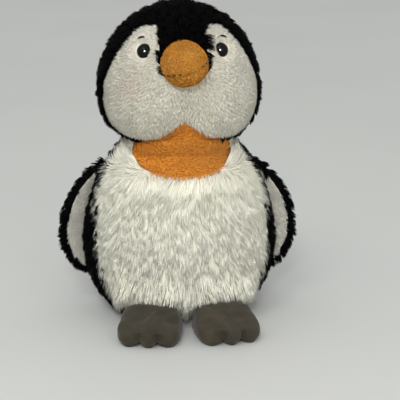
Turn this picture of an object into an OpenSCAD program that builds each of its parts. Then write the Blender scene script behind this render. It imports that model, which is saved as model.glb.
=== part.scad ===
// Plush penguin: a sewn cloth skin over loose filling, with stuffed wings and feet.
// The toy stands on z = 0, faces -Y, and is mirrored across x = 0. "Left" is the toy's own left, at +X.

/* [Body] */
// Width of the body skin at its widest level
body_w = 116; // [108:1:120]
// Depth of the body in front of its middle plane
belly_depth = 46; // [42:1:50]
// Depth of the body behind its middle plane
back_depth = 42; // [39:1:46]
// Level of the widest part of the body
belly_z = 52; // [48:1:56]
// Level of the neck seam
neck_z = 114; // [112:1:116]
// Thickness of a cloth panel with its short pile
cloth = 2.2; // [1.6:0.1:2.6]

/* [Head] */
// Width of the head skin before the cheeks puff out
head_w = 100; // [94:1:101]
// Depth of the face in front of the middle plane
face_depth = 43; // [40:1:46]
// Depth of the back of the head
nape_depth = 42; // [39:1:45]
// Level of the middle of the head
head_z = 160; // [159:0.5:161]
// Height of the head above its middle level
head_rise = 46; // [44:0.5:47]
// How far the cheeks puff out
cheek_puff = 5; // [3:0.5:6]
// Diameter of the plastic eye domes
eye_d = 10; // [8:0.5:11]
// Distance of each eye from the middle plane
eye_x = 25; // [24:0.5:26]
// Level of the eyes
eye_z = 181; // [180:0.5:183]

/* [Beak] */
// Width of the upper beak where it is sewn on
beak_w = 29; // [27:1:31]
// Length of the beak from the face to its tip
beak_length = 24; // [20:1:27]

/* [Wings] */
// Length of a wing from its top to its tip
wing_length = 78; // [74:1:80]
// Width of a wing at its widest
wing_w = 31; // [28:1:34]
// Thickness of a stuffed wing
wing_t = 10; // [9:0.5:10]
// How far a wing's outer edge turns forward
wing_turn = 32; // [28:1:36]

/* [Feet] */
// Width of a foot across its toes
foot_w = 41; // [38:1:42]
// Length of a foot from its heel to its toes
foot_length = 38; // [36:1:40]
// Height of a foot near its heel
heel_h = 19; // [16:0.5:20]
// Height of a foot at its toes
toe_h = 12; // [9:0.5:14]
// Distance of each foot seam from the middle plane
foot_x = 21.5; // [21:0.5:24]

/* [Hidden] */

// Colours of the materials
black_plush = [0.05, 0.05, 0.055];
white_plush = [0.85, 0.84, 0.79];
orange_plush = [0.82, 0.5, 0.18];
taupe_suede = [0.3, 0.27, 0.23];
fill_white = [0.93, 0.94, 0.95];
satin_white = [0.95, 0.95, 0.93];
eye_black = [0.02, 0.02, 0.02];
washer_grey = [0.6, 0.6, 0.6];

// Clearances
fill_gap = 0.3;      // between a skin and the filling behind it
seam_gap = 0.15;     // between two panels that meet in a seam
pivot_gap = 0.08;    // between a seam thread and the hem that turns on it
round_fn = 48;

// Body
body_rise = 84;      // from the widest level up to where the body would close
body_drop = 66;      // from the widest level down to where the body would close
body_taper = 0.1;    // how much slimmer the body is towards the neck
base_t = 2.2;
pouch_top = 17;
pellet_r = 3.1;

// Neck: the ball of filling that the head turns and nods on
neck_pivot = [0, 0, neck_z];
neck_ball_r = 19;
neck_band_r = 22;
neck_opening_r = 24; // of the head's underside
neck_opening_z = neck_z + 7.5;

// Head seams, in degrees round the head from the middle of the face, and degrees of height
head_drop = 43;      // depth of the head below its middle level
head_taper = 0.1;
crown_round = 0.9;   // how round the head is above its middle level: 1 is an oval, less is squarer
cheek_round = 0.6;   // the same below it, where the cheeks sag
side_seam = 74;      // where the white cheek ends at the side
underside = -56;     // where the head turns in behind the cheeks
crown_behind = 22;   // height of the crown's edge at the back of the head
cap_top = 80;        // the crown closes in a small flat patch above this

// Seam threads and hems
seam_r = 1;
hem_r = 2.2;
wing_seam_at = [45.1, 8, neck_z - 10];
wing_seam_length = 16;
foot_seam_at = [foot_x, -41.6, 13];
foot_seam_length = 18;
foot_turn = 8;      // how far the toes point outward

// ---- Shapes that every sub-part uses ----

function flatten(list) = [for (row = list) each row];

// Points of a surface, a function of two numbers that run from 0 to 1
function grid(shape, rows, cols, last_col) =
  flatten([for (i = [0:rows]) [for (j = [0:last_col]) shape(i / rows, j / cols)]]);

// Two triangles for each cell of a grid that starts at point number first
function cell_faces(first, rows, cols, wide, flip) =
  flatten([for (i = [0:rows - 1]) for (j = [0:cols - 1])
    let (
      a = first + i * wide + j,
      b = first + i * wide + (j + 1) % wide,
      c = a + wide,
      d = b + wide
    )
    flip ? [[a, b, d], [a, d, c]] : [[a, d, b], [a, c, d]]]);

// A band of triangles between two rows of point numbers
function band_faces(one, other) =
  flatten([for (k = [0:len(one) - 2])
    [[one[k], other[k + 1], one[k + 1]], [one[k], other[k], other[k + 1]]]]);

// A cloth panel: its outer and inner surfaces, closed along its four edges
module panel(outer, inner, rows, cols) {
  wide = cols + 1;
  count = (rows + 1) * wide;
  bottom = [for (j = [0:cols]) j];
  top = [for (j = [cols:-1:0]) rows * wide + j];
  start = [for (i = [rows:-1:0]) i * wide];
  end = [for (i = [0:rows]) i * wide + cols];
  edges = [bottom, end, top, start];
  polyhedron(
    points = concat(grid(outer, rows, cols, cols), grid(inner, rows, cols, cols)),
    faces = concat(
      cell_faces(0, rows, cols, wide, false),
      cell_faces(count, rows, cols, wide, true),
      [for (edge = edges) each band_faces([for (p = edge) p + count], edge)]
    )
  );
}

// A domed panel that goes all the way round: rows run from its rim to the flat patch that closes it
module dome(outer, inner, rows, cols) {
  count = (rows + 1) * cols;
  rim = [for (j = [0:cols]) j % cols];
  patch = [for (j = [cols - 1:-1:0]) rows * cols + j];
  polyhedron(
    points = concat(grid(outer, rows, cols, cols - 1), grid(inner, rows, cols, cols - 1)),
    faces = concat(
      cell_faces(0, rows, cols, cols, false),
      cell_faces(count, rows, cols, cols, true),
      band_faces([for (p = rim) p + count], rim),
      [patch],
      [[for (k = [cols - 1:-1:0]) patch[k] + count]]
    )
  );
}

// A solid lump of filling inside one surface, closed flat at both ends
module lump(shape, rows, cols) {
  polyhedron(
    points = grid(shape, rows, cols, cols - 1),
    faces = concat(
      cell_faces(0, rows, cols, cols, false),
      [[for (j = [0:cols - 1]) j]],
      [[for (j = [cols - 1:-1:0]) rows * cols + j]]
    )
  );
}

// A thread from one point to another, with rounded ends
module thread(from, to, radius) {
  way = to - from;
  length = norm(way);
  translate(from)
    rotate([0, acos(way[2] / length), atan2(way[1], way[0])])
      rotate_extrude($fn = 24)
        intersection() {
          union() {
            square([radius, length]);
            circle(r = radius, $fn = 24);
            translate([0, length]) circle(r = radius, $fn = 24);
          }
          translate([0, -radius]) square([radius, length + 2 * radius]);
        }
}

// A thread along X, held by two thinner ends that reach back by the two lengths given
module seam_thread(length, radius, left_tab, right_tab) {
  rotate([0, 90, 0]) cylinder(h = length, r = radius, center = true, $fn = 32);
  for (end = [[-1, left_tab], [1, right_tab]])
    translate([end[0] * (length / 2 - radius), 0, 0])
      rotate([-90, 0, 0]) cylinder(h = end[1], r = 0.75 * radius, $fn = 32);
}

module right_side() {
  mirror([1, 0, 0]) children();
}

function mix(a, b, t) = a + (b - a) * t;
function ease(t) = let (u = min(max(t, 0), 1)) u * u * (3 - 2 * u);

// ---- Body ----

// Half width of the body at a level, as a share of the widest
function body_swell(z) =
  let (lift = (z - belly_z) / (z < belly_z ? body_drop : body_rise))
  sqrt(1 - lift * lift) * (1 - body_taper * lift);

// A point of the body: around is 0 at the middle of the belly and 90 at the toy's left side
function body_point(z, around, inset) =
  let (depth = cos(around) > 0 ? belly_depth : back_depth)
  [
    (body_w / 2 * body_swell(z) - inset) * sin(around),
    -(depth * body_swell(z) - inset) * cos(around),
    z
  ];

// Half angle of the white belly at a level: narrow at the feet, wide over the shoulders
belly_edge_low = 52;
belly_edge_more = 32; // how much wider it is at the neck
function belly_edge(z) = belly_edge_low + belly_edge_more * pow(z / neck_z, 1.7);

// Lower seam of the orange throat patch, a round bib with its corners at the neck
throat_edge = 62;
throat_drop = 14;
throat_reach = throat_edge + 10; // where its lower seam would meet the neck
throat_seam_gap = 1.2;
function throat_low(around) =
  neck_z - throat_drop * (1 - pow(min(abs(around) / throat_reach, 1), 2));

module belly_panel() {
  skin = function(inset) function(i, j)
    let (
      share = 2 * j - 1,
      z = mix(0, throat_low(share * belly_edge(neck_z)), i)
    )
    body_point(z, share * belly_edge(z), inset);
  color(white_plush) panel(skin(0), skin(cloth), 16, 24);
}

module throat_patch() {
  skin = function(inset) function(i, j)
    let (
      around = (2 * j - 1) * throat_edge,
      below = throat_low(around * belly_edge(neck_z) / belly_edge(neck_z - throat_drop)),
      z = mix(below + throat_seam_gap, neck_z, i)
    )
    body_point(z, around, inset);
  color(orange_plush) panel(skin(0), skin(cloth), 4, 20);
}

module body_back_left() {
  skin = function(inset) function(i, j)
    let (
      z = mix(0, neck_z, i),
      share = mix(belly_edge(z) + 0.2, 179.9, j)
    )
    body_point(z, share, inset);
  color(black_plush) panel(skin(0), skin(cloth), 16, 12);
}

module base_outline(inset) {
  polygon([for (a = [0:10:350]) let (p = body_point(0, a, inset)) [p[0], p[1]]]);
}

module body_base() {
  color(black_plush)
    linear_extrude(base_t) base_outline(cloth + seam_gap);
}

module body_stuffing() {
  skin = function(i, j)
    body_point(mix(pouch_top + fill_gap, neck_z - 0.5, i), 360 * j, cloth + fill_gap);
  color(fill_white)
    difference() {
      lump(skin, 10, 28);
      translate(neck_pivot) sphere(r = neck_ball_r + fill_gap, $fn = round_fn);
    }
}

// A flat round bag in the bottom of the body that holds the pellets
pouch_r = 27;
pouch_t = 0.6;
module pouch_outline(inset) {
  half = (pouch_top - base_t - fill_gap) / 2;
  intersection() {
    translate([pouch_r - half, base_t + fill_gap + half]) circle(r = half - inset, $fn = round_fn);
    square([pouch_r, pouch_top]);
  }
  translate([0, base_t + fill_gap + inset]) square([pouch_r - half, 2 * (half - inset)]);
}

module pellet_pouch() {
  color(satin_white)
    rotate_extrude($fn = round_fn)
      difference() {
        pouch_outline(0);
        pouch_outline(pouch_t);
      }
}

// Pellets in rings round one in the middle, in two layers
pellet_rings = 3;
module pellets() {
  pitch = 2 * pellet_r + 0.3;
  first_z = base_t + fill_gap + pouch_t + pellet_r + 0.2;
  color("white")
    for (layer = [0:1], ring = [0:pellet_rings], k = [0:max(6 * ring, 1) - 1])
      rotate([0, 0, 360 * k / max(6 * ring, 1) + 20 * layer])
        translate([ring * pitch, 0, first_z + layer * pitch])
          sphere(r = pellet_r, $fn = 24);
}

// Hand stitches that close the back seam after filling
stitch_count = 7;
module closing_stitches() {
  color(black_plush)
    for (k = [0:stitch_count - 1]) {
      z = 52 + 5 * k;
      y = body_point(z, 180, 0)[1] + 0.35;
      thread([-2.2, y, z - 1], [2.2, y, z + 1], 0.35);
    }
}

// Care label: a blank ribbon loop that hangs from a thread on the back seam
label_at = [0, back_depth + 2.1, 44];
label_w = 16;
label_drop = 24;
label_thread_r = 0.42;
module care_label() {
  color(satin_white)
    translate(label_at) {
      rotate([0, 90, 0])
        difference() {
          cylinder(h = label_w, r = 0.9, center = true, $fn = 32);
          cylinder(h = label_w + 1, r = label_thread_r + pivot_gap, center = true, $fn = 32);
        }
      translate([-label_w / 2, 0, -label_drop]) cube([label_w, 0.45, label_drop - 0.75]);
    }
}

// The thread that the label hangs from, with both ends sewn in to the back seam
module label_seam() {
  color(black_plush)
    translate(label_at)
      rotate([0, 0, 180]) seam_thread(label_w + 3, label_thread_r, 4, 4);
}

// ---- Neck ----

module neck_core() {
  color(fill_white) translate(neck_pivot) sphere(r = neck_ball_r, $fn = round_fn);
}

module neck_band() {
  color(black_plush)
    translate([0, 0, neck_z + 0.4])
      difference() {
        cylinder(h = 4.4, r = neck_band_r, $fn = round_fn);
        translate([0, 0, -1]) cylinder(h = 7, r = neck_ball_r + 0.1, $fn = round_fn);
      }
}

// ---- Head ----

// A soft bump centred on one direction, 1 at its middle
function bump(around, up, at_around, at_up, spread) =
  exp(-(pow((around - at_around) / spread, 2) + pow((up - at_up) / spread, 2)));

// How far the skin stands out from the plain head: full cheeks and a crease below the beak
function head_puff(around, up) =
  let (side = around > 180 ? 360 - around : around)
  cheek_puff * bump(side, up, 38, -30, 34)
  - 3 * exp(-pow(side / 9, 2)) * ease((14 - up) / 40);

// Half width of the head at an angle of height, as a share of the widest
function head_swell(up) = pow(cos(up), up > 0 ? crown_round : cheek_round) * (1 - head_taper * sin(up));

// A point of the head: around is 0 at the middle of the face, up is 0 at its middle level
function head_point(up, around, inset) =
  let (
    lift = sin(up),
    rise = up > 0 ? head_rise : head_drop,
    swell = head_swell(up),
    depth = cos(around) > 0 ? face_depth : nape_depth,
    out = head_puff(abs(around), up) - inset
  )
  [
    (head_w / 2 * swell + out) * sin(around),
    -(depth * swell + out) * cos(around),
    head_z + (rise + out) * lift
  ];

// Lower seam of the white cheeks: two round lobes with a notch under the beak
cheek_bottom = -48;
cheek_notch = 16;
cheek_lift = 6;      // how far the seam rises again towards the side
function cheek_low(around) =
  let (side = abs(around))
  cheek_bottom + cheek_notch * exp(-pow(side / 15, 2)) + cheek_lift * ease((side - 45) / 30);

// Upper seam of the white cheeks: low behind the beak, then a round lobe over each eye
brow_low = 18;
lobe_rise = 32;
lobe_fall = 52;
function cheek_high(around) =
  let (side = abs(around))
  brow_low + lobe_rise * ease((side - 20) / 9) - lobe_fall * ease((side - 48) / 27);

// Lower edge of the crown: over the face it follows the cheeks, then it runs level round the back
function crown_low(around) =
  let (side = around > 180 ? 360 - around : around)
  side < side_seam ? cheek_high(side) : mix(cheek_high(side_seam), crown_behind, ease((side - side_seam) / 60));

module cheek_left() {
  skin = function(inset) function(i, j)
    let (around = mix(0.2, side_seam, j), up = mix(cheek_low(around), cheek_high(around) - 1, i))
    head_point(up, around, inset);
  color(white_plush) panel(skin(0), skin(cloth), 14, 20);
}

module head_back_left() {
  skin = function(inset) function(i, j)
    let (
      around = mix(side_seam + 0.3, 179.8, j),
      up = mix(head_low(around), crown_low(around) - 0.3, i)
    )
    head_point(up, around, inset);
  color(black_plush) panel(skin(0), skin(cloth), 9, 10);
}

module head_crown() {
  skin = function(inset) function(i, j)
    head_point(mix(crown_low(360 * j), cap_top, i), 360 * j, inset);
  color(black_plush) dome(skin(0), skin(cloth), 7, 72);
}

// The head's lower edge all round: the cheeks' seam in front, level behind them
function head_low(around) =
  let (side = around > 180 ? 360 - around : around)
  side < side_seam ? cheek_low(side) : mix(cheek_low(side_seam), underside, ease((side - side_seam) / 26));

// A point of the underside: from the neck opening out to the head's lower edge, full in front
function underside_point(out, around, lift) =
  let (
    edge = head_point(head_low(around), around, cloth + seam_gap),
    opening = [neck_opening_r * sin(around), -neck_opening_r * cos(around), neck_opening_z],
    fullness = 3 * sin(180 * out) * max(cos(around), 0)
  )
  mix(opening, edge, out) + [0, -fullness, lift];

throat_gusset_edge = 44;
module throat_gusset() {
  skin = function(lift) function(i, j)
    underside_point(i, mix(-throat_gusset_edge, throat_gusset_edge, j), lift);
  color(orange_plush) panel(skin(0), skin(cloth), 5, 14);
}

module chin_gusset() {
  first = throat_gusset_edge + 0.6;
  skin = function(lift) function(i, j)
    underside_point(i, mix(first, 360 - first, j), lift);
  color(black_plush) panel(skin(0), skin(cloth), 2, 34);
}

module head_stuffing() {
  skin = function(i, j)
    head_point(mix(max(-41, head_low(360 * j) + 8), cap_top - 8, i), 360 * j, cloth + 3 * fill_gap);
  color(fill_white)
    difference() {
      lump(skin, 10, 28);
      translate(neck_pivot) sphere(r = neck_ball_r + fill_gap, $fn = round_fn);
    }
}

// ---- Face ----

// A solid of revolution about the line from the middle of the head out through an eye
module at_eye() {
  up = asin((eye_z - head_z) / head_rise);
  side = asin(eye_x / (head_w / 2 * head_swell(up)));
  near = head_point(up, side, 0);
  aim = atan2(near[0], -near[1]);
  translate(near)
    rotate([0, 0, aim])
      rotate([90 - up * 0.7, 0, 0])
        children();
}

eye_sink = 1.2;      // how far the dome's middle lies behind the skin
shank_r = 1.6;
shank_length = 11;
module eye_left() {
  color(eye_black)
    at_eye() {
      translate([0, 0, -eye_sink])
        rotate_extrude($fn = round_fn)
          intersection() {
            translate([0, -0.6]) circle(d = eye_d, $fn = round_fn);
            square([eye_d, eye_d]);
          }
      translate([0, 0, -eye_sink - shank_length])
        cylinder(h = shank_length + 0.5, r = shank_r, $fn = 32);
    }
}

washer_t = 1.2;
washer_r = 5.5;
washer_gap = 2.8;    // of filling that the washer squeezes against the cloth
module eye_washer_left() {
  color(washer_grey)
    at_eye()
      translate([0, 0, -cloth - washer_t - washer_gap])
        difference() {
          cylinder(h = washer_t, r = washer_r, $fn = round_fn);
          translate([0, 0, -1]) cylinder(h = washer_t + 2, r = shank_r + 0.02, $fn = 32);
        }
}

// A short stitch over each eye, higher at its inner end
module brow_stitch_left() {
  on_face = function(up, side) head_point(up, side, -0.25);
  color(eye_black) thread(on_face(37, 37.5), on_face(35.5, 45.5), 0.5);
}

// Where the face is, in front of a place x and z
function face_y(x, z) =
  let (
    up = asin((z - head_z) / head_rise),
    side = asin(abs(x) / (head_w / 2 * head_swell(up)))
  )
  -(face_depth * head_swell(up) + head_puff(side, up)) * cos(side);

// Beak: two stuffed lips that stand out of the face, one above the mouth crease and one below it.
// It is sewn on by hand, so the crease slants and the tip leans aside.
crease_z = 173;
crease_slant = 20;
tip_aside = 3;
beak_end = 0.985;
beak_gap = 0.6;
// A lip is [level of its middle over the crease, rise above it, fall below it, half its width, length]
upper_lip = [2, 13.5, 1.8, beak_w / 2, beak_length];
lower_lip = [-2, 1.8, 10, beak_w * 0.47, beak_length * 0.94];

// A size that lies inside another by an inset, or by less where there is no room for all of it
function inside(size, inset) = size * size / (size + inset);

// A point of a lip: along runs from the face to the tip, around starts at the side
function lip_point(lip, along, around, inset) =
  let (
    swell = pow(1 - along * along, 0.5),
    tall = sin(around) > 0 ? lip[1] : lip[2],
    x = inside(lip[3] * swell, inset) * cos(around),
    up = lip[0] + inside(tall * swell, inset) * sin(around),
    slanted_x = x * cos(crease_slant) - up * sin(crease_slant),
    z = crease_z + x * sin(crease_slant) + up * cos(crease_slant),
    tip_y = face_y(0, crease_z) - lip[4] + inset
  )
  [slanted_x + tip_aside * along, mix(face_y(slanted_x, z) - beak_gap, tip_y, along), z];

module lip(shape, inset, cols) {
  skin = function(depth) function(i, j) lip_point(shape, beak_end * sin(90 * i), 360 * j, depth);
  dome(skin(0), skin(inset), 8, cols);
}

module beak_upper() {
  color(orange_plush) lip(upper_lip, cloth, 28);
}

module beak_lower() {
  color(orange_plush) lip(lower_lip, cloth * 0.8, 24);
}

module beak_stuffing() {
  color(fill_white)
    for (shape = [upper_lip, lower_lip])
      lump(function(i, j) lip_point(shape, mix(0.04, 0.9, i), 360 * j, cloth + fill_gap), 5, 20);
}

// Two small knots where the mouth crease ends
module mouth_stitches() {
  reach = beak_w / 2 - 1.2;
  color(eye_black)
    for (side = [-1, 1]) {
      x = side * reach * cos(crease_slant) + 1;
      z = crease_z + side * reach * sin(crease_slant);
      y = face_y(x, z) - 11;
      thread([x, y, z], [x - side * 1.6, y - 2, z - side * 0.5], 0.5);
    }
}

// ---- Wings ----

// The inner edge of a wing stays close behind the body's side, so its root follows the body
wing_top = neck_z - 13;
wing_gap = 2.8;       // from the body's skin to the wing's root
wing_belly = 0.35;    // share of the wing's thickness that is on its white side
wing_shoulder = 0.75; // how much narrower the wing is at its top
function wing_root(share) =
  body_point(wing_top - wing_length * (1 - share), mix(120, 112, share * share), -wing_gap);

// A point of the wing: across is 0 in the middle of its black back, 90 at its edge and 180 in front
function wing_point(across, around, inset) =
  let (
    reach = pow(sin(across), 0.8),
    share = 0.5 + (0.5 - inset / wing_length) * cos(around) * reach,
    out = wing_w / 2 * (1 - wing_shoulder * pow(share, 3)) + (wing_w / 2 - inset) * sin(around) * reach,
    deep = (wing_t * (across < 90 ? 1 - wing_belly : wing_belly) - inset) * cos(across)
  )
  wing_root(share)
  + out * [cos(wing_turn), -sin(wing_turn), 0]
  + deep * [sin(wing_turn), cos(wing_turn), 0];

// The black back wraps round the edge, most of all along the outer side
function wing_wrap(around) = 112 + 16 * sin(around);

module wing_left_back() {
  skin = function(inset) function(i, j)
    wing_point(mix(wing_wrap(360 * j), 6, i), 360 * j, inset);
  color(black_plush) dome(skin(0), skin(cloth), 7, 30);
}

module wing_left_front() {
  skin = function(inset) function(i, j)
    wing_point(mix(wing_wrap(-360 * j) + 1.5, 174, i), -360 * j, inset);
  color(white_plush) dome(skin(0), skin(0.6 * cloth), 4, 30);
}

module wing_left_stuffing() {
  skin = function(i, j) wing_point(mix(150, 15, i), 360 * j, cloth + fill_gap);
  color(fill_white) lump(skin, 6, 24);
}

// The folded edge of the wing, which turns on the thread that sews it to the body
module wing_left_hem() {
  color(black_plush)
    translate(wing_seam_at)
      rotate([90, 0, 0])
        difference() {
          cylinder(h = wing_seam_length, r = hem_r, center = true, $fn = 32);
          cylinder(h = wing_seam_length + 1, r = seam_r + pivot_gap, center = true, $fn = 32);
        }
}

// The thread that sews the wing on. Its ends reach in to the body's skin.
module wing_left_seam() {
  reach = wing_seam_length / 2 + 1.5;
  gaps = [for (side = [-1, 1]) wing_seam_at[0] - side_x(wing_seam_at[1] + side * reach)];
  color(black_plush)
    translate(wing_seam_at)
      rotate([0, 0, 90]) seam_thread(wing_seam_length + 5, seam_r, gaps[0] + 1.2, gaps[1] + 1.2);
}

// How far out the body's side is at a depth y, on the level of the wing seams
function side_x(y) =
  let (swell = body_swell(wing_seam_at[2]), depth = y < 0 ? belly_depth : back_depth)
  body_w / 2 * swell * sqrt(1 - pow(y / (depth * swell), 2));

// ---- Feet ----

// Outline of a foot seen from above, with 0 at its front: three toes with a notch between each pair
toe_pitch = 44;
toe_notch = 0.13;
function foot_outline(around) =
  let (
    turn = around > 180 ? around - 360 : around,
    half_w = foot_w / 2,
    half_l = foot_length / 2,
    square = abs(turn) < 90 ? 3.4 : 2.6,
    oval = pow(pow(abs(sin(turn)) / half_w, square) + pow(abs(cos(turn)) / half_l, square), -1 / square),
    notch = abs(turn) < toe_pitch ? toe_notch * (1 - abs(cos(180 * turn / toe_pitch))) : 0,
    heel = 1 - 0.12 * ease((abs(turn) - 80) / 60)
  )
  oval * heel * (1 - notch);

suede_t = 1.2;
foot_rim_z = 4;
foot_bottom_inset = 2.5;
heel_gap = 2.6;      // from the seam to the back of the foot

// A point of the foot: across is 0 at the middle of its top and 90 at its widest rim, then it tucks under.
// Its top slopes down from the heel to the toes.
function foot_point(across, around, inset) =
  let (
    reach = foot_outline(around) - inset,
    out = across <= 90 ? reach * pow(sin(across), 0.75) : reach - foot_bottom_inset * (across - 90) / 90,
    forward = out * cos(around),
    top = mix(heel_h, toe_h, ease(0.5 + 1.1 * forward / foot_length)),
    z = across <= 90
      ? foot_rim_z + (top - foot_rim_z - inset) * pow(cos(across), 0.6)
      : foot_rim_z * (1 - (across - 90) / 90)
  )
  [out * sin(around), -forward - foot_length / 2 - heel_gap, z];

module at_foot() {
  translate([foot_seam_at[0], foot_seam_at[1], 0]) rotate([0, 0, foot_turn]) children();
}

module foot_left_upper() {
  rows = 7;
  skin = function(inset) function(i, j)
    let (across = i < 1.5 / rows ? mix(180, 90, i * rows) : mix(90, 8, (i * rows - 1) / (rows - 1)))
    foot_point(across, 360 * j, inset);
  color(taupe_suede) at_foot() dome(skin(0), skin(suede_t), rows, 48);
}

module foot_left_sole() {
  color(taupe_suede)
    at_foot()
      linear_extrude(suede_t)
        polygon([
          for (a = [0:6:354])
            let (p = foot_point(180, a, suede_t + seam_gap)) [p[0], p[1]]
        ]);
}

module foot_left_stuffing() {
  skin = function(i, j)
    let (p = foot_point(mix(90, 10, i), 360 * j, suede_t + 6 * fill_gap))
    i == 0 ? [p[0], p[1], suede_t + fill_gap] : p;
  color(fill_white) at_foot() lump(skin, 6, 48);
}

module at_foot_seam() {
  translate(foot_seam_at) rotate([0, 0, foot_turn]) children();
}

module foot_left_hem() {
  color(taupe_suede)
    at_foot_seam()
      rotate([0, 90, 0])
        difference() {
          cylinder(h = foot_seam_length, r = hem_r, center = true, $fn = 32);
          cylinder(h = foot_seam_length + 1, r = seam_r + pivot_gap, center = true, $fn = 32);
        }
}

// How far a place in front of the body is from the belly's skin, on the level of the foot seams
function belly_gap(at) =
  let (swell = body_swell(foot_seam_at[2]))
  -at[1] - belly_depth * swell * sqrt(1 - pow(at[0] / (body_w / 2 * swell), 2));

module foot_left_seam() {
  reach = foot_seam_length / 2 + 1.5;
  gaps = [for (side = [-1, 1]) belly_gap(foot_seam_at + side * reach * [cos(foot_turn), sin(foot_turn), 0])];
  color(black_plush)
    at_foot_seam() seam_thread(foot_seam_length + 5, seam_r, gaps[0] + 1.5, gaps[1] + 1.5);
}

// ---- Assembly ----

body_back_left();
right_side() body_back_left();  // body_back_right
belly_panel();
throat_patch();
body_base();
body_stuffing();
pellet_pouch();
pellets();
closing_stitches();
wing_left_seam();
right_side() wing_left_seam();  // wing_right_seam
foot_left_seam();
right_side() foot_left_seam();  // foot_right_seam
label_seam();
care_label();
neck_core();
neck_band();
head_crown();
head_back_left();
right_side() head_back_left();  // head_back_right
chin_gusset();
throat_gusset();
cheek_left();
right_side() cheek_left();  // cheek_right
head_stuffing();
beak_upper();
beak_lower();
beak_stuffing();
mouth_stitches();
eye_left();
right_side() eye_left();  // eye_right
eye_washer_left();
right_side() eye_washer_left();  // eye_washer_right
brow_stitch_left();
right_side() brow_stitch_left();  // brow_stitch_right
wing_left_back();
wing_left_front();
wing_left_stuffing();
wing_left_hem();
right_side() wing_left_back();  // wing_right_back
right_side() wing_left_front();  // wing_right_front
right_side() wing_left_stuffing();  // wing_right_stuffing
right_side() wing_left_hem();  // wing_right_hem
foot_left_upper();
foot_left_sole();
foot_left_stuffing();
foot_left_hem();
right_side() foot_left_upper();  // foot_right_upper
right_side() foot_left_sole();  // foot_right_sole
right_side() foot_left_stuffing();  // foot_right_stuffing
right_side() foot_left_hem();  // foot_right_hem
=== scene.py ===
"""Looks of the plush penguin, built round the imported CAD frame. Every length is in metres."""

import math

import bpy
import numpy as np
from mathutils import Matrix, Vector, kdtree


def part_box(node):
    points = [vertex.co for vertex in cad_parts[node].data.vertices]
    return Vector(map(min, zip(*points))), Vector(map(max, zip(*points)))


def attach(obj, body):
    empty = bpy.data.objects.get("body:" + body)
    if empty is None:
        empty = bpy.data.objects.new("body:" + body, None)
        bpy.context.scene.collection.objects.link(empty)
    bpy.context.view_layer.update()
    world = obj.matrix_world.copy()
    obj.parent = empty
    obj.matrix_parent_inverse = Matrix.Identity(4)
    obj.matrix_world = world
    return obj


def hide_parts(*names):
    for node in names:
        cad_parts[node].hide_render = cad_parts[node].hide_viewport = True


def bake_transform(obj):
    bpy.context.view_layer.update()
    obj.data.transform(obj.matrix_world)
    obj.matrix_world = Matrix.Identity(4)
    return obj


MM = 0.001
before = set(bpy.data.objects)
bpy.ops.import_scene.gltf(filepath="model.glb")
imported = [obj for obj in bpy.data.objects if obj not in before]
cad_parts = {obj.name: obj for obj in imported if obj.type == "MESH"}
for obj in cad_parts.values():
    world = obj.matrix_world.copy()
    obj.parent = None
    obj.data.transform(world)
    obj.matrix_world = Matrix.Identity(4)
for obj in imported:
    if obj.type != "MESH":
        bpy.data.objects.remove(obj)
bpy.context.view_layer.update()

# Driving sizes, read from the frame where a node's box gives them
back_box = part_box("body_back_left")
BODY_W = 2 * back_box[1][0]
BACK_DEPTH = back_box[1][1]
BELLY_DEPTH = -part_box("belly_panel")[0][1]
NECK_Z = back_box[1][2]
BELLY_Z = 52 * MM
BODY_RISE = 84 * MM
BODY_DROP = 66 * MM
BODY_TAPER = 0.1
BODY_FULL = 3.4 * MM  # how far the stuffing swells the body's cloth between its seams
FULL_ROUND_TO = 128.0  # degrees from the front where the swelling ends
FULL_FADE = 34.0
BELLY_EDGE = (52.0, 84.0, 1.7)  # degrees from the front at the floor and at the neck, and a power
THROAT_EDGE = 59.0
THROAT_DROP = 14 * MM
THROAT_SPREAD = 13.0
HEAD_W = 100 * MM
FACE_DEPTH = 43 * MM
NAPE_DEPTH = 42 * MM
HEAD_Z = 160 * MM
HEAD_RISE = 46 * MM
HEAD_DROP = 43 * MM
HEAD_TAPER = 0.1
CROWN_ROUND = 0.9
CHEEK_ROUND = 0.6
CHEEK_PUFF = 5 * MM
CHEEK_PUFF_AT = (38.0, -30.0)  # degrees round and up
CHEEK_PUFF_SPREAD = 34.0
FACE_HOLLOW = 3 * MM
CHEEK_FOOT = -46.0  # degrees up to the cheek's lower edge
CROWN_PEAK = 8.0  # degrees up to the crown's peak between the eyes
SIDE_SEAM = 74.0
NAPE_TOP = 22.0  # degrees up to the crown's seam at the back
UNDERSIDE = -56.0
NECK_OPENING_R = 24 * MM
NECK_OPENING_Z = NECK_Z + 7.5 * MM
GUSSET_EDGE = 44.0
NECK_SIDE = 84.0
EYE = (25 * MM, 181 * MM)  # distance from the middle plane, and level
EYE_R = 5.08 * MM
EYE_SINK = 1.8 * MM  # from the skin to the middle of the dome
CREASE_Z = 173 * MM
CREASE_SLANT = 20.0
TIP_ASIDE = 3 * MM
UPPER_LIP = (0.5 * MM, 14.5 * MM, 0.5 * MM, 14.5 * MM, 24 * MM)  # level, rise, fall, half width, length
LOWER_LIP = (-0.5 * MM, 0.5 * MM, 11.4 * MM, 13.7 * MM, 22.6 * MM)
BROW_UP = 35.5
BROW_SIDES = (35.5, 42.5)
WING_LENGTH = 78 * MM
WING_W = 31 * MM
WING_T = 10 * MM
WING_TURN = 32.0
WING_TOP = NECK_Z - 13 * MM
WING_GAP = 2.8 * MM
WING_BELLY = 0.35
WING_SHOULDER = 0.75
WING_WRAP = (119.0, 9.0)  # degrees the black cloth reaches round the edge, and its sway
FOOT_W = 41 * MM
FOOT_LENGTH = 38 * MM
HEEL_H = 19 * MM
TOE_H = 12 * MM
FOOT_SEAM = (21.5 * MM, -41.6 * MM, 13 * MM)
FOOT_TURN = 8.0
FOOT_RIM_Z = 4 * MM
FOOT_TUCK = 2.5 * MM
HEEL_GAP = 2.6 * MM
TOE_PITCH = 44.0
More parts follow.
